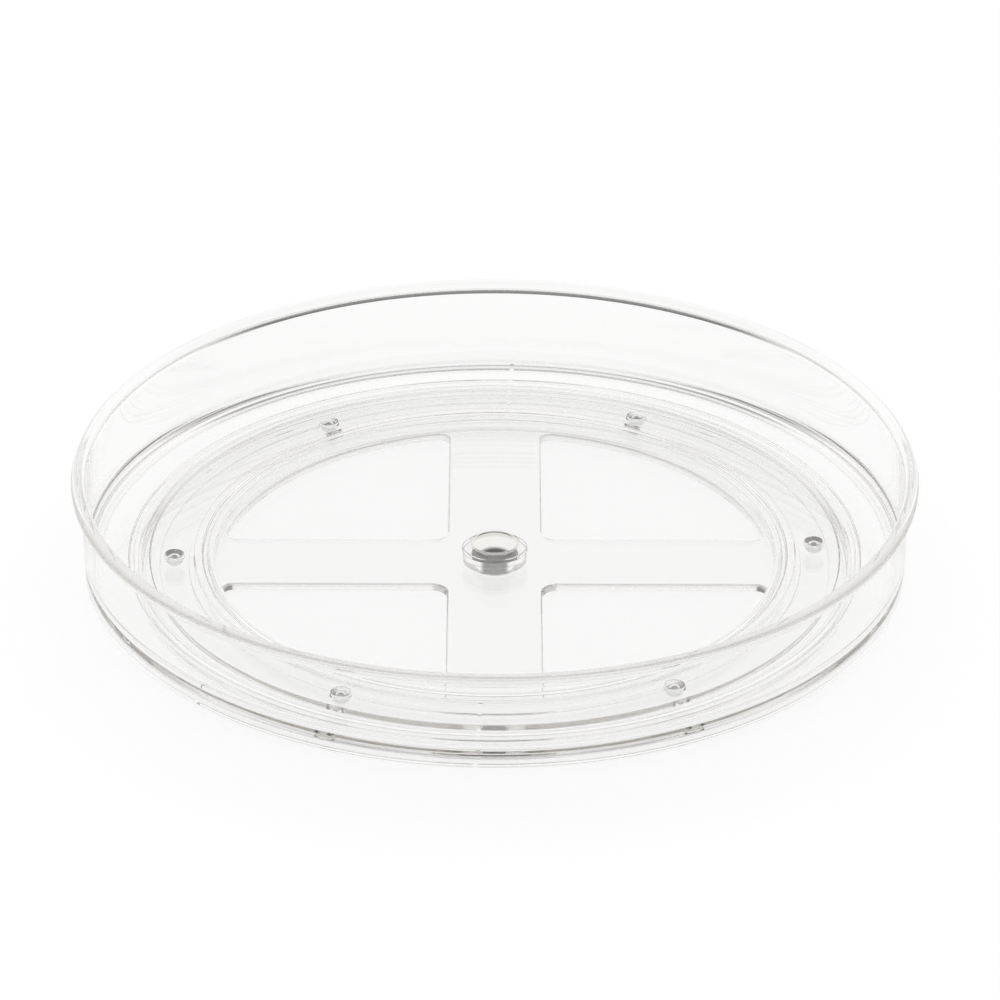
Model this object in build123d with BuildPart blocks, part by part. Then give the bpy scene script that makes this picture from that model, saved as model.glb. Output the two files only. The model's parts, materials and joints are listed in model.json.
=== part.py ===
"""Clear plastic lazy susan: a rimmed tray that turns on six steel balls over a cross-shaped base.

Frame: +Z up, origin on the table at the turning axis. All sizes are in millimetres.
"""
from build123d import *
import math
import os

os.makedirs("parts", exist_ok=True)

# ---------------------------------------------------------------- driving dimensions
overall_diameter = 355.6        # across the lip, 14 in
overall_height = 51.3           # table to the top of the lip

# balls and their circle
ball_count = 6
ball_radius = 4.0
ball_circle_radius = 135.3
ball_ring_yaw = 2.68            # degrees from +X to the first ball
pocket_gap = 0.15               # around a ball, inside its pocket
rolling_gap = 0.10              # under a ball, above the track

# base
foot_height = 1.0
plate_thickness = 3.0
track_depth = 0.6
track_half_width = 6.1
base_radius = 151.0
opening_radius = 116.8          # outer edge of the four openings
arm_width = 40.0
opening_corner_radius = 7.0
opening_tip_radius = 4.5
flange_width = 2.3
flange_height = 5.6             # above the plate
flange_draft = 0.3
foot_width = 3.5

# tray
floor_above_balls = 5.8         # ball centre to the floor's top face
floor_thickness = 2.8
wall_inner_radius = 171.1       # where the wall would meet the floor without its rounding
wall_inner_radius_top = 171.8
wall_outer_radius = 173.2       # at the skirt's bottom edge
wall_outer_radius_top = 174.0
skirt_inner_radius = 167.2
skirt_bottom_rounding = 1.5
skirt_root_rounding = 0.7       # between the skirt and the floor's underside
floor_rounding = 7.4            # between floor and wall
lip_width = 5.6
lip_height = 4.1                # of its outer face
lip_underside_drop = 1.7        # the underside slopes down towards the wall
lip_outer_rounding = 2.6
lip_inner_rounding = 1.5
lip_bottom_rounding = 2.2
race_inner_radius = 127.0       # thick ring that holds the balls
race_outer_radius = 145.5
inner_rib_radius = 121.1        # inside face
outer_rib_radius = 152.1        # inside face
rib_width = 2.3
edge_rounding = 0.4

# hub
hub_radius = 13.5               # boss under the floor and pad on it
pad_height = 0.5
rivet_radius = 3.0
rivet_bore_radius = 2.0
rivet_head_radius = 5.0
rivet_head_thickness = 0.6
clinch_radius = 5.4
clinch_thickness = 0.8
sleeve_radius = 5.0
sleeve_flange_radius = 8.0
sleeve_flange_thickness = 0.6
washer_radius = 9.8
back_washer_thickness = 0.8
slip_washer_thickness = 0.6
recess_radius = 10.4            # in the underside of the base, for the back washer
recess_depth = 1.4
cap_radius = 9.8
cap_side_height = 0.9
cap_height = 2.5
cap_thickness = 0.5
cap_stem_length = 4.0
running_clearance = 0.05        # shaft in hole, radial
end_play = 0.3                  # tray boss above the slip washer
flange_play = 0.2               # tray pad to the sleeve's flange

# ---------------------------------------------------------------- derived levels and radii
plate_top = foot_height + plate_thickness
ball_centre_z = plate_top - track_depth + rolling_gap + ball_radius
floor_top = ball_centre_z + floor_above_balls
floor_bottom = floor_top - floor_thickness
flange_top = plate_top + flange_height
pocket_radius = ball_radius + pocket_gap

recess_top = foot_height + recess_depth
back_washer_bottom = recess_top - back_washer_thickness
rivet_bottom = back_washer_bottom - clinch_thickness
slip_washer_top = plate_top + slip_washer_thickness
boss_bottom = slip_washer_top + end_play
pad_top = floor_top + pad_height
sleeve_flange_bottom = pad_top + flange_play
sleeve_top = sleeve_flange_bottom + sleeve_flange_thickness
rivet_top = sleeve_top + rivet_head_thickness
tray_bore_radius = sleeve_radius + running_clearance
sleeve_bore_radius = rivet_radius + running_clearance

lip_outer_radius = overall_diameter / 2
lip_bottom = overall_height - lip_height


def disc(radius, bottom, top, mode=Mode.ADD):
    """Add or cut a plain cylinder about the turning axis between two levels."""
    with Locations((0, 0, bottom)):
        Cylinder(radius, top - bottom, align=(Align.CENTER, Align.CENTER, Align.MIN), mode=mode)


def ring_section(inner, outer, bottom, top):
    """Add a rectangle of a revolved section, from its two radii and two levels."""
    with Locations((inner, bottom)):
        Rectangle(outer - inner, top - bottom, align=(Align.MIN, Align.MIN))


def drafted_rib(inner, width, bottom, top, narrow_end):
    """Add a rib of a revolved section that narrows by the draft towards one end."""
    draft_low = flange_draft if narrow_end == "bottom" else 0
    draft_high = flange_draft if narrow_end == "top" else 0
    Polygon(
        (inner + draft_low, bottom),
        (inner + width - draft_low, bottom),
        (inner + width - draft_high, top),
        (inner + draft_high, top),
        align=None,
    )


# ---------------------------------------------------------------- tray
with BuildPart() as tray:
    with BuildSketch(Plane.XZ) as tray_section:
        # floor, from the hub's bore out into the wall
        ring_section(tray_bore_radius, wall_outer_radius, floor_bottom, floor_top)
        # skirt, wall and lip in one piece, leaning outwards
        with BuildLine():
            Polyline(
                (skirt_inner_radius, ball_centre_z),
                (wall_outer_radius, ball_centre_z),
                (wall_outer_radius_top, lip_bottom - lip_underside_drop),
                (lip_outer_radius, lip_bottom),
                (lip_outer_radius, overall_height),
                (lip_outer_radius - lip_width, overall_height),
                (wall_inner_radius_top, lip_bottom),
                (wall_inner_radius, floor_top),
                (skirt_inner_radius, floor_bottom),
                close=True,
            )
        make_face()
        for corner_radius, corner_height, rounding in (
            (wall_outer_radius, ball_centre_z, skirt_bottom_rounding),
            (skirt_inner_radius, floor_bottom, skirt_root_rounding),
            (wall_inner_radius, floor_top, floor_rounding),
            (lip_outer_radius, lip_bottom, lip_bottom_rounding),
            (lip_outer_radius, overall_height, lip_outer_rounding),
            (lip_outer_radius - lip_width, overall_height, lip_inner_rounding),
        ):
            corner = Vector(corner_radius, corner_height)
            fillet(tray_section.vertices().sort_by_distance(corner)[0], rounding)
        # thick ring that holds the balls, and the two guide ribs
        ring_section(race_inner_radius, race_outer_radius, ball_centre_z, floor_bottom)
        drafted_rib(inner_rib_radius, rib_width, ball_centre_z, floor_bottom, "bottom")
        drafted_rib(outer_rib_radius, rib_width, ball_centre_z, floor_bottom, "bottom")
        # hub boss below the floor and low pad on it
        ring_section(tray_bore_radius, hub_radius, boss_bottom, floor_bottom)
        ring_section(tray_bore_radius, hub_radius, floor_top, pad_top)
    revolve(axis=Axis.Z)
    # rounded outer edge of the pad and of the boss
    hub_edges = tray.edges().filter_by(GeomType.CIRCLE).filter_by(
        lambda e: abs(e.radius - hub_radius) < 0.01
    )
    fillet(hub_edges.group_by(Axis.Z)[0] + hub_edges.group_by(Axis.Z)[-1], edge_rounding)
    # flat-roofed pockets for the balls
    with Locations((0, 0, ball_centre_z)):
        with PolarLocations(ball_circle_radius, ball_count, start_angle=ball_ring_yaw):
            Cylinder(
                pocket_radius, pocket_radius,
                align=(Align.CENTER, Align.CENTER, Align.MIN), mode=Mode.SUBTRACT,
            )
tray.part.label = "tray"
export_step(tray.part, "parts/tray.step")

# ---------------------------------------------------------------- base
with BuildPart() as base:
    with BuildSketch(Plane.XZ):
        ring_section(opening_radius, base_radius, foot_height, plate_top)
        drafted_rib(opening_radius, flange_width, plate_top, flange_top, "top")
        drafted_rib(base_radius - flange_width, flange_width, plate_top, flange_top, "top")
        ring_section(base_radius - foot_width, base_radius, 0, foot_height)
        # shallow track that the balls roll in
        with Locations((ball_circle_radius, plate_top)):
            Rectangle(2 * track_half_width, 2 * track_depth, mode=Mode.SUBTRACT)
    revolve(axis=Axis.Z)
    # cross-shaped web: a disc with four rounded openings
    with BuildSketch(Plane.XY.offset(foot_height)):
        Circle(opening_radius + flange_width / 2)
        with BuildSketch(mode=Mode.SUBTRACT) as openings:
            Circle(opening_radius)
            Rectangle(arm_width, 2 * base_radius, mode=Mode.SUBTRACT)
            Rectangle(2 * base_radius, arm_width, mode=Mode.SUBTRACT)
            corners = openings.vertices().group_by(lambda v: round(math.hypot(v.X, v.Y)))
            fillet(corners[0], opening_corner_radius)
            tips = openings.vertices().group_by(lambda v: round(math.hypot(v.X, v.Y)))
            fillet(tips[-1], opening_tip_radius)
    extrude(amount=plate_thickness)
    # hole for the rivet and the recess for its washer
    disc(sleeve_bore_radius, foot_height, plate_top, mode=Mode.SUBTRACT)
    disc(recess_radius, foot_height, recess_top, mode=Mode.SUBTRACT)
base.part.label = "base"
export_step(base.part, "parts/base.step")

# ---------------------------------------------------------------- balls
for number in range(1, ball_count + 1):
    angle = math.radians(ball_ring_yaw + 360 / ball_count * (number - 1))
    ball_plane = Plane((
        ball_circle_radius * math.cos(angle),
        ball_circle_radius * math.sin(angle),
        ball_centre_z,
    ))
    with BuildPart(ball_plane) as ball:
        Sphere(ball_radius)
    ball.part.label = f"ball_{number}"
    export_step(ball.part, f"parts/ball_{number}.step")

# ---------------------------------------------------------------- hub
# tubular rivet: head on top, end rolled out over the back washer
with BuildPart() as rivet:
    disc(rivet_radius, rivet_bottom, rivet_top)
    disc(rivet_head_radius, sleeve_top, rivet_top)
    disc(clinch_radius, rivet_bottom, back_washer_bottom)
    fillet(rivet.faces().sort_by(Axis.Z)[0].outer_wire().edges(), edge_rounding)
    disc(rivet_bore_radius, rivet_bottom, rivet_top, mode=Mode.SUBTRACT)
rivet.part.label = "rivet"
export_step(rivet.part, "parts/rivet.step")

# shoulder bush that the tray turns on
with BuildPart() as hub_sleeve:
    disc(sleeve_radius, plate_top, sleeve_top)
    disc(sleeve_flange_radius, sleeve_flange_bottom, sleeve_top)
    disc(sleeve_bore_radius, plate_top, sleeve_top, mode=Mode.SUBTRACT)
hub_sleeve.part.label = "hub_sleeve"
export_step(hub_sleeve.part, "parts/hub_sleeve.step")

# slippery washer between the tray's boss and the base
with BuildPart() as slip_washer:
    disc(washer_radius, plate_top, slip_washer_top)
    disc(sleeve_radius + running_clearance, plate_top, slip_washer_top, mode=Mode.SUBTRACT)
slip_washer.part.label = "slip_washer"
export_step(slip_washer.part, "parts/slip_washer.step")

# steel washer that spreads the rivet's rolled end under the base
with BuildPart() as back_washer:
    disc(washer_radius, back_washer_bottom, recess_top)
    disc(sleeve_bore_radius, back_washer_bottom, recess_top, mode=Mode.SUBTRACT)
back_washer.part.label = "back_washer"
export_step(back_washer.part, "parts/back_washer.step")

# polished dome with a stem that is pressed into the rivet
crown_height = cap_height - cap_side_height
crown_radius = (cap_radius**2 + crown_height**2) / (2 * crown_height)
cap_bottom = pad_top + flange_play / 2
cap_top = cap_bottom + cap_height
shell_radius = cap_radius - cap_thickness
with BuildPart() as rivet_cap:
    with BuildSketch(Plane.XZ) as cap_section:
        with Locations((0, cap_top - crown_radius)):
            Circle(crown_radius)
            Circle(crown_radius - cap_thickness, mode=Mode.SUBTRACT)
        ring_section(shell_radius, cap_radius, cap_bottom, cap_top)
        with Locations((0, cap_bottom)):
            Rectangle(cap_radius, cap_height, align=(Align.MIN, Align.MIN), mode=Mode.INTERSECT)
        with Locations((0, cap_top - crown_radius)):
            Circle(crown_radius, mode=Mode.INTERSECT)
        stem_radius = rivet_bore_radius - running_clearance
        ring_section(0, stem_radius, cap_top - cap_stem_length, cap_top - cap_thickness)
    revolve(axis=Axis.Z)
rivet_cap.part.label = "rivet_cap"
export_step(rivet_cap.part, "parts/rivet_cap.step")
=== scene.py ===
"""Looks of the clear plastic lazy susan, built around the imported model. Metres, +Z up."""
import json
import math

import bmesh
import bpy
from mathutils import Matrix, Vector


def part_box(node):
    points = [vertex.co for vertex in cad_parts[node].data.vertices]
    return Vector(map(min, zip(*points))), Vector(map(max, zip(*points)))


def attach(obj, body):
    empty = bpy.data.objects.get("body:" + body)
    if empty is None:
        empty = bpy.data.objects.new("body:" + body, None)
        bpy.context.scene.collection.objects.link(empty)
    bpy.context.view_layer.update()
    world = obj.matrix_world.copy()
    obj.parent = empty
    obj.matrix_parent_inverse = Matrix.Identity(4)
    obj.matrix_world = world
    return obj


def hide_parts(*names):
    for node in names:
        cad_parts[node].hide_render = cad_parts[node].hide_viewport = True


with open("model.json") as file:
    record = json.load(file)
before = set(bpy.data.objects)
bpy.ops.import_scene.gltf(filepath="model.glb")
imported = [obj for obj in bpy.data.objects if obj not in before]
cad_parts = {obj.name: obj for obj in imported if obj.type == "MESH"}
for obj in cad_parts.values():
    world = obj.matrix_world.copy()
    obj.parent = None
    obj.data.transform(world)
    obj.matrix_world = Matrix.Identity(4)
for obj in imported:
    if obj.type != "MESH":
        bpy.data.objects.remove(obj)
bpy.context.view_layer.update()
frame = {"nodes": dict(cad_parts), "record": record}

MM = 0.001
TURNS = 360                     # steps round a large turned piece
SMALL_TURNS = 96                # steps round a small turned piece
CAP_TURNS = 128                 # steps round the polished cap
ARC_STEP = math.radians(7.5)    # turn between two points of a large rounded corner
SMALL_ARC_STEP = math.radians(15)
SMALL_CORNER = 1.0 * MM         # corners rounded by less than this get the small corners' step

# ---------------------------------------------------------------- places read from the frame
_, tray_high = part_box("tray")
_, base_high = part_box("base")
_, sleeve_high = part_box("hub_sleeve")
cap_low, cap_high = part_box("rivet_cap")
rivet_low, rivet_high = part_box("rivet")
slip_low, slip_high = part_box("slip_washer")
back_low, back_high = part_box("back_washer")
ball_names = sorted(n for n in frame["nodes"] if n.startswith("ball_"))
ball_boxes = [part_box(n) for n in ball_names]
ball_centres = [(low + high) / 2 for low, high in ball_boxes]
ball_radius = (ball_boxes[0][1].z - ball_boxes[0][0].z) / 2
ball_circle = math.hypot(ball_centres[0].x, ball_centres[0].y)
floor_top = next(m["pos_m"][2] for m in frame["record"]["mounts"] if m["name"] == "tray_floor")
lip_radius = tray_high.x
lip_top = tray_high.z
race_bottom = ball_centres[0].z

# ---------------------------------------------------------------- sizes of the tray
FLOOR_THICKNESS = 2.8 * MM
WALL_INNER = 171.1 * MM
WALL_INNER_TOP = 171.8 * MM
WALL_OUTER = 173.2 * MM
WALL_OUTER_TOP = 174.0 * MM
SKIRT_INNER = 167.2 * MM
SKIRT_EDGE = 1.5 * MM
SKIRT_ROOT = 0.7 * MM
FLOOR_ROUNDING = 7.4 * MM       # between floor and wall
LIP_WIDTH = 5.6 * MM
LIP_HEIGHT = 4.1 * MM           # of its outer face
LIP_DROP = 1.7 * MM             # the underside slopes down towards the wall
LIP_OUTER_EDGE = 2.6 * MM
LIP_INNER_EDGE = 1.5 * MM
LIP_BOTTOM_EDGE = 2.2 * MM
RACE_INNER = 127.0 * MM         # the thick ring that holds the balls
RACE_OUTER = 145.5 * MM
INNER_RIB = 121.1 * MM
OUTER_RIB = 152.1 * MM
RIB_WIDTH = 2.3 * MM
RIB_DRAFT = 0.3 * MM
POCKET_GAP = 0.15 * MM
HUB_RADIUS = 13.5 * MM
PAD_HEIGHT = 0.5 * MM
BOSS_GAP = 0.3 * MM
NOTCH_WIDTH = 1.7 * MM
NOTCH_DEPTH = 0.6 * MM
NOTCH_END = 180 * MM            # outside the tray

# ---------------------------------------------------------------- sizes of the base
FOOT_HEIGHT = 1.0 * MM
FOOT_WIDTH = 3.5 * MM
PLATE_THICKNESS = 3.0 * MM
TRACK_DEPTH = 0.6 * MM
TRACK_HALF_WIDTH = 6.1 * MM
OPENING_RADIUS = 116.8 * MM
ARM_WIDTH = 40.0 * MM
OPENING_CORNER = 7.0 * MM
OPENING_TIP = 4.5 * MM
OPENING_EDGE = 1.4 * MM         # rounding of the openings' upper edge
RECESS_RADIUS = 10.4 * MM       # for the washer under the base
RECESS_DEPTH = 1.4 * MM

# ---------------------------------------------------------------- sizes of the hub
SLEEVE_RADIUS = 5.0 * MM
SLEEVE_FLANGE = 0.6 * MM
RIVET_RADIUS = 3.0 * MM
RIVET_BORE = 2.0 * MM
RIVET_HEAD = 5.0 * MM
RIVET_ROLL_HEIGHT = 0.5 * MM    # of the rolled end, inside the bore
RIVET_ROLL_WIDTH = 0.8 * MM
ROLL_EDGE = 0.4 * MM
CAP_SHELL = 0.5 * MM
CAP_SIDE = 0.9 * MM             # height of the cap's side below its bead
CAP_BEAD = 0.35 * MM
CAP_GAP = 0.1 * MM
RUNNING_CLEARANCE = 0.05 * MM

# ---------------------------------------------------------------- roundings
FINE_EDGE = 0.1 * MM
WASHER_EDGE = 0.15 * MM
CRISP_EDGE = 0.2 * MM
MILD_EDGE = 0.3 * MM
SOFT_EDGE = 0.35 * MM           # a moulded edge
INNER_EDGE = 0.5 * MM           # a moulded inside corner

floor_bottom = floor_top - FLOOR_THICKNESS
plate_top = FOOT_HEIGHT + PLATE_THICKNESS
cap_rim = floor_top + PAD_HEIGHT + CAP_GAP


# ---------------------------------------------------------------- outlines and solids
def rounded_outline(corners):
    """Points of a closed outline. Each corner is (x, y) or (x, y, rounding radius)."""
    points = []
    count = len(corners)
    for i, corner in enumerate(corners):
        here = Vector(corner[:2])
        radius = corner[2] if len(corner) > 2 else 0
        if radius == 0:
            points.append(here)
            continue
        before = (Vector(corners[i - 1][:2]) - here).normalized()
        after = (Vector(corners[(i + 1) % count][:2]) - here).normalized()
        half = before.angle(after) / 2
        reach = radius / math.tan(half)
        centre = here + (before + after).normalized() * (radius / math.sin(half))
        start = here + before * reach - centre
        turn = math.pi - 2 * half
        if before.cross(after) > 0:
            turn = -turn
        step = SMALL_ARC_STEP if radius < SMALL_CORNER else ARC_STEP
        steps = max(3, math.ceil(abs(turn) / step))
        for k in range(steps + 1):
            angle = turn * k / steps
            points.append(centre + Matrix.Rotation(angle, 2) @ start)
    return points


def between(start, end, steps):
    """Evenly spaced values from start to end, both included."""
    return [start + (end - start) * k / steps for k in range(steps + 1)]


def linked_object(name, data):
    """A new object in the scene, around its mesh or camera data."""
    obj = bpy.data.objects.new(name, data)
    bpy.context.scene.collection.objects.link(obj)
    return obj


def bmesh_object(name, bm):
    """A new object made from a bmesh, which is freed."""
    mesh = bpy.data.meshes.new(name)
    bm.to_mesh(mesh)
    bm.free()
    return linked_object(name, mesh)


def mesh_object(name, vertices, faces):
    """A new object with outward normals and no doubled points."""
    mesh = bpy.data.meshes.new(name)
    mesh.from_pydata([tuple(v) for v in vertices], [], faces)
    bm = bmesh.new()
    bm.from_mesh(mesh)
    bmesh.ops.remove_doubles(bm, verts=bm.verts, dist=1e-7)
    bmesh.ops.recalc_face_normals(bm, faces=bm.faces)
    bm.to_mesh(mesh)
    bm.free()
    return linked_object(name, mesh)


def lathe(name, outline, turns=TURNS):
    """A closed outline of (radius, height) points turned about the Z axis."""
    vertices = []
    for k in range(turns):
        angle = 2 * math.pi * k / turns
        vertices += [(p.x * math.cos(angle), p.x * math.sin(angle), p.y) for p in outline]
    count = len(outline)
    faces = []
    for k in range(turns):
        here, there = k * count, (k + 1) % turns * count
        for i in range(count):
            j = (i + 1) % count
            faces.append((here + i, there + i, there + j, here + j))
    return mesh_object(name, vertices, faces)


def loft(name, outlines):
    """A closed solid through equal-length rings of 3-D points, capped at both ends."""
    count = len(outlines[0])
    vertices = [p for ring in outlines for p in ring]
    faces = [tuple(range(count))[::-1], tuple(range(len(vertices) - count, len(vertices)))]
    for level in range(len(outlines) - 1):
        low, high = level * count, (level + 1) * count
        for i in range(count):
            j = (i + 1) % count
            faces.append((low + i, low + j, high + j, high + i))
    return mesh_object(name, vertices, faces)


def cut(obj, cutters):
    """Subtract the cutters from obj for good, and remove them."""
    for cutter in cutters:
        modifier = obj.modifiers.new("cut", "BOOLEAN")
        modifier.operation = "DIFFERENCE"
        modifier.solver = "EXACT"
        modifier.object = cutter
    bake(obj)
    for cutter in cutters:
        bpy.data.objects.remove(cutter)


def bake(obj):
    """Replace obj's mesh by what its modifiers make of it."""
    bpy.context.view_layer.update()
    shape = obj.evaluated_get(bpy.context.evaluated_depsgraph_get())
    mesh = bpy.data.meshes.new_from_object(shape)
    obj.modifiers.clear()
    obj.data = mesh


def smooth(obj, sharp_angle=35):
    """Smooth shading that keeps crisp edges and leaves flat faces truly flat."""
    obj.data.shade_smooth()
    obj.data.set_sharp_from_angle(angle=math.radians(sharp_angle))
    modifier = obj.modifiers.new("normals", "WEIGHTED_NORMAL")
    modifier.mode = "FACE_AREA"
    modifier.weight = 100
    modifier.keep_sharp = True


# ---------------------------------------------------------------- materials
def node(tree, kind, **settings):
    """A new shader node. A setting is a property of it or, with _ for a space, an input."""
    made = tree.nodes.new(kind)
    for key, value in settings.items():
        if hasattr(made, key):
            setattr(made, key, value)
        else:
            made.inputs[key.replace("_", " ")].default_value = value
    return made


def new_material(name):
    """A node material, its node tree and its Principled shader."""
    material = bpy.data.materials.new(name)
    material.use_nodes = True
    tree = material.node_tree
    shader = tree.nodes["Principled BSDF"]
    return material, tree, shader


def noise(tree, scale, detail):
    """A noise that is fixed to the piece."""
    place = node(tree, "ShaderNodeTexCoord")
    pattern = node(tree, "ShaderNodeTexNoise", Scale=scale, Detail=detail)
    tree.links.new(place.outputs["Object"], pattern.inputs["Vector"])
    return pattern


def vary_roughness(tree, shader, pattern, low, high):
    """Let the roughness follow the pattern from low to high."""
    spread = node(tree, "ShaderNodeMapRange", To_Min=low, To_Max=high)
    tree.links.new(pattern.outputs["Fac"], spread.inputs["Value"])
    tree.links.new(spread.outputs["Result"], shader.inputs["Roughness"])


def add_bumps(tree, shader, pattern, strength, distance):
    """Let the surface follow the pattern up and down."""
    bump = node(tree, "ShaderNodeBump", Strength=strength, Distance=distance)
    tree.links.new(pattern.outputs["Fac"], bump.inputs["Height"])
    tree.links.new(bump.outputs["Normal"], shader.inputs["Normal"])


def clear_plastic(name):
    """Clear moulded plastic: faint flow ripples, a breath of haze, a warm tint where it is thick."""
    material, tree, shader = new_material(name)
    shader.inputs["Base Color"].default_value = (0.984, 0.984, 0.982, 1)
    shader.inputs["Transmission Weight"].default_value = 1
    shader.inputs["IOR"].default_value = 1.5
    tint = node(tree, "ShaderNodeVolumeAbsorption", Density=6.0)
    tint.inputs["Color"].default_value = (0.56, 0.53, 0.48, 1)
    tree.links.new(tint.outputs["Volume"], tree.nodes["Material Output"].inputs["Volume"])
    ripples = noise(tree, scale=38.0, detail=2.0)
    add_bumps(tree, shader, ripples, strength=0.002, distance=0.0005)
    haze = noise(tree, scale=220.0, detail=4.0)
    vary_roughness(tree, shader, haze, low=0.0, high=0.02)
    return material


def polished_metal(name, colour, roughness):
    """Bright metal with a fine turned or tumbled finish."""
    material, tree, shader = new_material(name)
    shader.inputs["Base Color"].default_value = (*colour, 1)
    shader.inputs["Metallic"].default_value = 1
    grain = noise(tree, scale=900.0, detail=5.0)
    vary_roughness(tree, shader, grain, low=roughness * 0.6, high=roughness * 1.6)
    add_bumps(tree, shader, grain, strength=0.02, distance=0.0001)
    return material


def nylon(name):
    """Natural nylon: milky white with a soft sheen."""
    material, tree, shader = new_material(name)
    shader.inputs["Base Color"].default_value = (0.97, 0.965, 0.95, 1)
    cloud = noise(tree, scale=400.0, detail=3.0)
    vary_roughness(tree, shader, cloud, low=0.25, high=0.4)
    return material


# ---------------------------------------------------------------- tray
def rib(inner, bottom):
    """Corners of a rib under the floor, from its inside face outwards."""
    return [
        (inner, floor_bottom, INNER_EDGE),
        (inner + RIB_DRAFT, bottom, SOFT_EDGE),
        (inner + RIB_WIDTH - RIB_DRAFT, bottom, SOFT_EDGE),
        (inner + RIB_WIDTH, floor_bottom, INNER_EDGE),
    ]


def tray_outline():
    """The tray's section, from the bore's lower edge outwards, up the wall and back."""
    bore = SLEEVE_RADIUS + RUNNING_CLEARANCE
    boss_bottom = slip_high.z + BOSS_GAP
    lip_bottom = lip_top - LIP_HEIGHT
    return rounded_outline([
        (bore, boss_bottom, SOFT_EDGE),
        (HUB_RADIUS, boss_bottom, SOFT_EDGE),
        (HUB_RADIUS, floor_bottom, INNER_EDGE),
        *rib(INNER_RIB, race_bottom),
        (RACE_INNER, floor_bottom, INNER_EDGE),
        (RACE_INNER, race_bottom, SOFT_EDGE),
        (RACE_OUTER, race_bottom, SOFT_EDGE),
        (RACE_OUTER, floor_bottom, INNER_EDGE),
        *rib(OUTER_RIB, race_bottom),
        (SKIRT_INNER, floor_bottom, SKIRT_ROOT),
        (SKIRT_INNER, race_bottom, SOFT_EDGE),
        (WALL_OUTER, race_bottom, SKIRT_EDGE),
        (WALL_OUTER_TOP, lip_bottom - LIP_DROP, CRISP_EDGE),
        (lip_radius, lip_bottom, LIP_BOTTOM_EDGE),
        (lip_radius, lip_top, LIP_OUTER_EDGE),
        (lip_radius - LIP_WIDTH, lip_top, LIP_INNER_EDGE),
        (WALL_INNER_TOP, lip_bottom),
        (WALL_INNER, floor_top, FLOOR_ROUNDING),
        (HUB_RADIUS, floor_top, CRISP_EDGE),
        (HUB_RADIUS, floor_top + PAD_HEIGHT, CRISP_EDGE),
        (bore, floor_top + PAD_HEIGHT, CRISP_EDGE),
    ])


def pocket_cutters():
    """Cutters for the balls' pockets: flat-roofed bores with a flared mouth."""
    radius = ball_radius + POCKET_GAP
    mouth = radius + SOFT_EDGE
    reach = 2 * MM              # of the cutter below the ring
    lap = 0.01 * MM             # the flare starts this far below the ring
    profile = rounded_outline([
        (0, -reach),
        (mouth, -reach),
        (mouth, -lap),
        (radius, SOFT_EDGE, SOFT_EDGE),
        (radius, radius, INNER_EDGE),
        (0, radius),
    ])
    cutters = []
    for centre in ball_centres:
        cutter = lathe("pocket", profile, SMALL_TURNS)
        cutter.location = centre
        cutters.append(cutter)
    return cutters


def notch(angle, start):
    """Cutter for a shallow moulded groove across the tray's bottom edges, from radius start out."""
    bm = bmesh.new()
    bmesh.ops.create_cube(bm, size=1)
    size = Matrix.Diagonal((NOTCH_END - start, NOTCH_WIDTH, 2 * NOTCH_DEPTH, 1))
    place = Matrix.Translation(((start + NOTCH_END) / 2, 0, race_bottom))
    turn = Matrix.Rotation(math.radians(angle), 4, "Z")
    bmesh.ops.transform(bm, matrix=turn @ place @ size, verts=bm.verts)
    return bmesh_object("notch", bm)


def make_tray():
    """The tray: a turned section with the balls' pockets and three grooves cut into it."""
    tray = lathe("clear_tray", tray_outline())
    race_start = RACE_INNER - MM
    skirt_start = SKIRT_INNER - FLOOR_ROUNDING
    notches = [notch(87.5, race_start), notch(267.5, race_start), notch(225.2, skirt_start)]
    cut(tray, pocket_cutters() + notches)
    smooth(tray)
    return tray


# ---------------------------------------------------------------- base
def opening_outline(grow):
    """One quarter opening of the base's web in plan, made larger all round by grow."""
    edge = ARM_WIDTH / 2 - grow
    outer = OPENING_RADIUS + grow
    corner = OPENING_CORNER + grow
    tip = OPENING_TIP + grow
    tip_along = math.sqrt((outer - tip) ** 2 - (edge + tip) ** 2)
    tip_angle = math.atan2(edge + tip, tip_along)
    corner_steps, side_steps, outer_steps = 12, 24, 72
    points = []

    def arc(centre_x, centre_y, radius, start, end, steps):
        for angle in between(start, end, steps):
            x = centre_x + radius * math.cos(angle)
            y = centre_y + radius * math.sin(angle)
            points.append((x, y))

    def straight(end_x, end_y):
        start_x, start_y = points[-1]
        along = between(start_x, end_x, side_steps)
        across = between(start_y, end_y, side_steps)
        points.extend(list(zip(along, across))[1:-1])

    arc(edge + corner, edge + corner, corner, math.pi * 1.5, math.pi, corner_steps)
    straight(edge, tip_along)
    arc(edge + tip, tip_along, tip, math.pi, math.pi / 2 - tip_angle, corner_steps)
    arc(0, 0, outer, math.pi / 2 - tip_angle, tip_angle, outer_steps)
    arc(tip_along, edge + tip, tip, tip_angle, -math.pi / 2, corner_steps)
    straight(edge + corner, edge)
    return points


def opening_cutter(quarter):
    """The solid that opens one quarter of the web, flared at both faces to round the edges."""
    low, high = SOFT_EDGE, OPENING_EDGE
    below, above = 1.0 * MM, 0.3 * MM       # reach past the web's two faces
    turns = between(0, math.pi / 2, 6)
    levels = [(FOOT_HEIGHT - below, low)]
    levels += [(FOOT_HEIGHT + low * (1 - math.cos(t)), low * (1 - math.sin(t))) for t in turns]
    turns.reverse()
    levels += [(plate_top - high * (1 - math.cos(t)), high * (1 - math.sin(t))) for t in turns]
    levels.append((plate_top + above, high))
    spin = Matrix.Rotation(math.pi / 2 * quarter, 2)
    rings = []
    for height, grow in levels:
        rings.append([(*(spin @ Vector(p)), height) for p in opening_outline(grow)])
    return loft("opening", rings)


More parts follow.
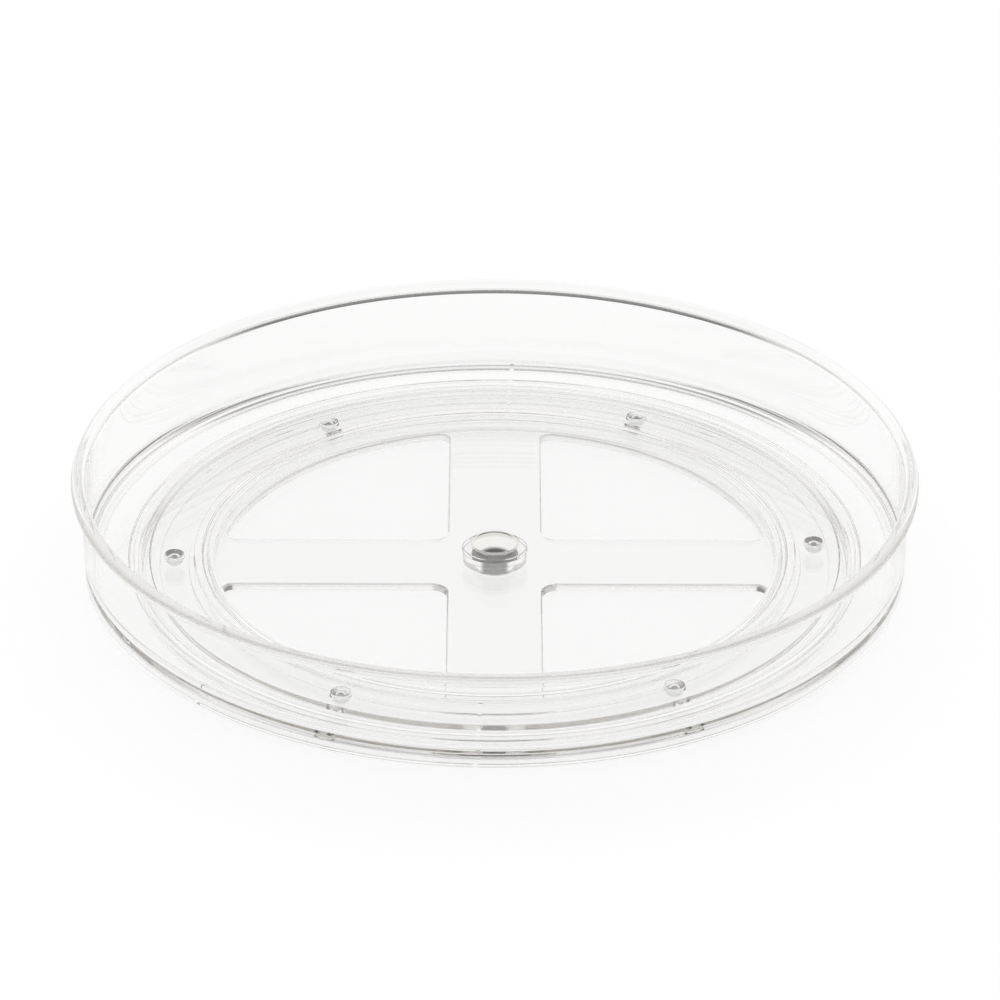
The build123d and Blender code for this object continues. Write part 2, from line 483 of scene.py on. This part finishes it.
def base_outline():
    """The base's section, from the hole's lower edge outwards, up the rim and back."""
    hole = RIVET_RADIUS + RUNNING_CLEARANCE
    recess_top = FOOT_HEIGHT + RECESS_DEPTH
    radius = base_high.x
    foot_inner = radius - FOOT_WIDTH
    flange_top = base_high.z
    track_inner = ball_circle - TRACK_HALF_WIDTH
    track_outer = ball_circle + TRACK_HALF_WIDTH
    track = plate_top - TRACK_DEPTH
    inner_flange = OPENING_RADIUS + OPENING_EDGE
    return rounded_outline([
        (hole, recess_top),
        (RECESS_RADIUS, recess_top, CRISP_EDGE),
        (RECESS_RADIUS, FOOT_HEIGHT, CRISP_EDGE),
        (foot_inner, FOOT_HEIGHT, MILD_EDGE),
        (foot_inner, 0, MILD_EDGE),
        (radius, 0, SOFT_EDGE),
        (radius, plate_top),
        (radius - RIB_DRAFT, flange_top, SOFT_EDGE),
        (radius - RIB_WIDTH + RIB_DRAFT, flange_top, SOFT_EDGE),
        (radius - RIB_WIDTH, plate_top, INNER_EDGE),
        (track_outer, plate_top, CRISP_EDGE),
        (track_outer, track, MILD_EDGE),
        (track_inner, track, MILD_EDGE),
        (track_inner, plate_top, CRISP_EDGE),
        (inner_flange + RIB_WIDTH, plate_top, INNER_EDGE),
        (inner_flange + RIB_WIDTH - RIB_DRAFT, flange_top, SOFT_EDGE),
        (inner_flange + RIB_DRAFT, flange_top, SOFT_EDGE),
        (inner_flange, plate_top, FINE_EDGE),
        (hole, plate_top),
    ])


def make_base():
    """The base: a turned section with four quarters of its web cut out."""
    base = lathe("clear_base", base_outline())
    cut(base, [opening_cutter(quarter) for quarter in range(4)])
    smooth(base)
    return base


# ---------------------------------------------------------------- hub and balls
def make_ball(number, centre):
    """A ball bearing ball: a fine geodesic sphere."""
    bm = bmesh.new()
    bmesh.ops.create_icosphere(bm, subdivisions=5, radius=ball_radius)
    ball = bmesh_object(f"steel_ball_{number}", bm)
    ball.data.shade_smooth()
    ball.location = centre
    return ball


def turned(name, corners):
    """A small turned piece from the corners of its section."""
    obj = lathe(name, rounded_outline(corners), SMALL_TURNS)
    smooth(obj)
    return obj


def make_cap():
    """Domed cap: beaded edge, shallow crown inside it, hollow under it, and its stem."""
    radius, top = cap_high.x, cap_high.z
    stem = RIVET_BORE - RUNNING_CLEARANCE
    bead_height = cap_rim + CAP_SIDE
    bead_centre = radius - CAP_BEAD
    crown_radius = radius - 2 * CAP_BEAD
    crown = top - bead_height
    sphere = (crown_radius ** 2 + crown ** 2) / (2 * crown)
    inner_radius = radius - CAP_SHELL
    inner_sphere = sphere - CAP_SHELL
    centre = top - sphere
    dome_steps, bead_steps = 24, 12

    def dome(size, start, end):
        """Section of a dome of that radius, from one angle off the axis to another."""
        angles = between(start, end, dome_steps)
        return [Vector((size * math.sin(a), centre + size * math.cos(a))) for a in angles]

    outline = [Vector((0, cap_low.z)), Vector((stem, cap_low.z))]
    inner_end = math.asin((crown_radius - CAP_SHELL) / inner_sphere)
    outline += dome(inner_sphere, math.asin(stem / inner_sphere), inner_end)
    outline += [
        Vector((inner_radius, cap_rim + CRISP_EDGE)),
        Vector((inner_radius + CRISP_EDGE, cap_rim)),
        Vector((radius - CRISP_EDGE, cap_rim)),
        Vector((radius, cap_rim + CRISP_EDGE)),
    ]
    for angle in between(0, math.pi, bead_steps):
        x = bead_centre + CAP_BEAD * math.cos(angle)
        outline.append(Vector((x, bead_height + CAP_BEAD * math.sin(angle))))
    outline += dome(sphere, math.asin(crown_radius / sphere), 0)[1:]
    cap = lathe("dome_cap", outline, CAP_TURNS)
    smooth(cap, sharp_angle=50)
    return cap


def make_rivet():
    """Tubular rivet: a flat head on the sleeve, and an end rolled over the back washer."""
    clinch = rivet_high.x
    return turned("tubular_rivet", [
        (RIVET_BORE, rivet_low.z + RIVET_ROLL_HEIGHT, MILD_EDGE),
        (RIVET_BORE + RIVET_ROLL_WIDTH, rivet_low.z, ROLL_EDGE),
        (clinch, rivet_low.z, SOFT_EDGE),
        (clinch, back_low.z, CRISP_EDGE),
        (RIVET_RADIUS, back_low.z),
        (RIVET_RADIUS, sleeve_high.z),
        (RIVET_HEAD, sleeve_high.z, FINE_EDGE),
        (RIVET_HEAD, rivet_high.z, CRISP_EDGE),
        (RIVET_BORE, rivet_high.z, CRISP_EDGE),
    ])


def make_sleeve():
    """Shoulder bush: the tube that the tray turns on, with a flange over the tray's pad."""
    bore = RIVET_RADIUS + RUNNING_CLEARANCE
    flange_radius = sleeve_high.x
    flange_bottom = sleeve_high.z - SLEEVE_FLANGE
    return turned("shoulder_bush", [
        (bore, plate_top, FINE_EDGE),
        (SLEEVE_RADIUS, plate_top, FINE_EDGE),
        (SLEEVE_RADIUS, flange_bottom, FINE_EDGE),
        (flange_radius, flange_bottom, WASHER_EDGE),
        (flange_radius, sleeve_high.z, WASHER_EDGE),
        (bore, sleeve_high.z, FINE_EDGE),
    ])


def make_washer(name, low, high, shaft_radius):
    """A flat washer that fills its box and runs on a shaft."""
    hole = shaft_radius + RUNNING_CLEARANCE
    section = [(hole, low.z), (high.x, low.z), (high.x, high.z), (hole, high.z)]
    return turned(name, [(*corner, WASHER_EDGE) for corner in section])


def finish_piece(obj, material, body, node_name):
    """Give a piece its material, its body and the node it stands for."""
    obj.data.materials.clear()
    obj.data.materials.append(material)
    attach(obj, body)
    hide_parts(node_name)


tray_plastic = clear_plastic("tray_plastic")
base_plastic = clear_plastic("base_plastic")
ball_steel = polished_metal("ball_steel", (0.80, 0.80, 0.79), 0.05)
cap_chrome = polished_metal("cap_chrome", (0.82, 0.81, 0.78), 0.05)
zinc = polished_metal("zinc", (0.93, 0.93, 0.92), 0.25)
natural_nylon = nylon("natural_nylon")

finish_piece(make_tray(), tray_plastic, "tray_unit", "tray")
finish_piece(make_base(), base_plastic, "base_unit", "base")
for number, centre in enumerate(ball_centres, 1):
    ball = make_ball(number, centre)
    finish_piece(ball, ball_steel, f"ball_{number}_unit", f"ball_{number}")
finish_piece(make_cap(), cap_chrome, "base_unit", "rivet_cap")
finish_piece(make_rivet(), zinc, "base_unit", "rivet")
finish_piece(make_sleeve(), natural_nylon, "base_unit", "hub_sleeve")
slip = make_washer("slip_washer_ring", slip_low, slip_high, SLEEVE_RADIUS)
finish_piece(slip, natural_nylon, "base_unit", "slip_washer")
back = make_washer("back_washer_ring", back_low, back_high, RIVET_RADIUS)
finish_piece(back, zinc, "base_unit", "back_washer")


# ---------------------------------------------------------------- stage, light and camera
def make_floor():
    """A white light table: it glows, so that the clear plastic casts only a faint shadow on it."""
    half_side = 12.0
    drop = 0.2 * MM             # below the base's foot
    signs = ((-1, -1), (1, -1), (1, 1), (-1, 1))
    corners = [(half_side * x, half_side * y, 0) for x, y in signs]
    mesh = bpy.data.meshes.new("floor")
    mesh.from_pydata(corners, [], [(0, 1, 2, 3)])
    material, tree, shader = new_material("light_table")
    shader.inputs["Base Color"].default_value = (0.3, 0.3, 0.3, 1)
    shader.inputs["Roughness"].default_value = 0.9
    shader.inputs["Specular IOR Level"].default_value = 0.0
    shader.inputs["Emission Color"].default_value = (1, 1, 1, 1)
    shader.inputs["Emission Strength"].default_value = 0.84
    mesh.materials.append(material)
    floor = linked_object("floor", mesh)
    floor.location.z = -drop


def sky_ramp(tree, height, stops):
    """Grey against the height of a direction, 0 at the horizon and 1 straight up."""
    ramp = node(tree, "ShaderNodeValToRGB")
    elements = ramp.color_ramp.elements
    for element, (position, value) in zip(elements, (stops[0], stops[-1])):
        element.position = position
        element.color = (value, value, value, 1)
    for position, value in stops[1:-1]:
        elements.new(position).color = (value, value, value, 1)
    tree.links.new(height, ramp.inputs["Fac"])
    return ramp.outputs["Color"]


def fade(tree, value, start, end):
    """0 up to start, 1 from end on, and straight in between."""
    step = node(tree, "ShaderNodeMapRange", From_Min=start, From_Max=end)
    tree.links.new(value, step.inputs["Value"])
    return step.outputs["Result"]


def mixed(tree, factor, first, second):
    """The first colour where the factor is 0, and the second where it is 1."""
    mix = node(tree, "ShaderNodeMixRGB")
    tree.links.new(factor, mix.inputs["Fac"])
    tree.links.new(first, mix.inputs["Color1"])
    tree.links.new(second, mix.inputs["Color2"])
    return mix.outputs["Color"]


def make_world():
    """A studio: a tall bright screen behind, a pale wall in front, greyer sides and ceiling."""
    world = bpy.data.worlds.new("studio")
    bpy.context.scene.world = world
    world.use_nodes = True
    tree = world.node_tree
    place = node(tree, "ShaderNodeTexCoord")
    split = node(tree, "ShaderNodeSeparateXYZ")
    tree.links.new(place.outputs["Generated"], split.inputs["Vector"])
    height = split.outputs["Z"]
    screen = sky_ramp(tree, height, [
        (0.0, 0.88), (0.21, 0.88), (0.34, 1.08), (0.77, 1.08), (0.86, 0.15), (1.0, 0.2)])
    front = sky_ramp(tree, height, [
        (0.0, 0.94), (0.21, 0.94), (0.34, 0.6), (0.8, 0.6), (0.95, 0.25), (1.0, 0.25)])
    sides = sky_ramp(tree, height, [
        (0.0, 0.65), (0.21, 0.65), (0.34, 0.35), (0.8, 0.35), (0.95, 0.25), (1.0, 0.25)])
    sideways = node(tree, "ShaderNodeMath", operation="ABSOLUTE")
    tree.links.new(split.outputs["X"], sideways.inputs[0])
    aside = fade(tree, sideways.outputs["Value"], start=0.4, end=0.7)
    behind = fade(tree, split.outputs["Y"], start=0.1, end=0.4)
    colour = mixed(tree, behind, mixed(tree, aside, front, sides), screen)
    background = tree.nodes["Background"]
    tree.links.new(colour, background.inputs["Color"])
    background.inputs["Strength"].default_value = 1.0


def make_camera():
    """Long lens, 29 degrees above the table, looking along +Y."""
    elevation = math.radians(29.04)
    roll = math.radians(0.19)
    distance = 19.42 * ball_circle
    focus = Vector((0, 0, floor_top - 2.3 * MM))
    aim = Vector((2.15 * MM, 0, focus.z + 24.3 * MM))       # puts the object a little low
    camera_data = bpy.data.cameras.new("camera")
    camera_data.lens = 223.7
    camera_data.sensor_width = 36
    camera_data.clip_start = 0.1
    camera_data.clip_end = 50
    camera = linked_object("camera", camera_data)
    camera.location = focus + distance * Vector((0, -math.cos(elevation), math.sin(elevation)))
    facing = (aim - camera.location).to_track_quat("-Z", "Y").to_matrix().to_4x4()
    turn = facing @ Matrix.Rotation(roll, 4, "Z")
    camera.matrix_world = Matrix.Translation(camera.location) @ turn
    bpy.context.scene.camera = camera


def let_light_through():
    """Let light bounce many times inside the clear mouldings, as it does in thick plastic."""
    many = 128
    limits = bpy.context.scene.cycles
    limits.max_bounces = many
    limits.glossy_bounces = many
    limits.transmission_bounces = many
    limits.diffuse_bounces = 16


make_floor()
make_world()
make_camera()
let_light_through()
bpy.context.scene.view_settings.view_transform = "Standard"
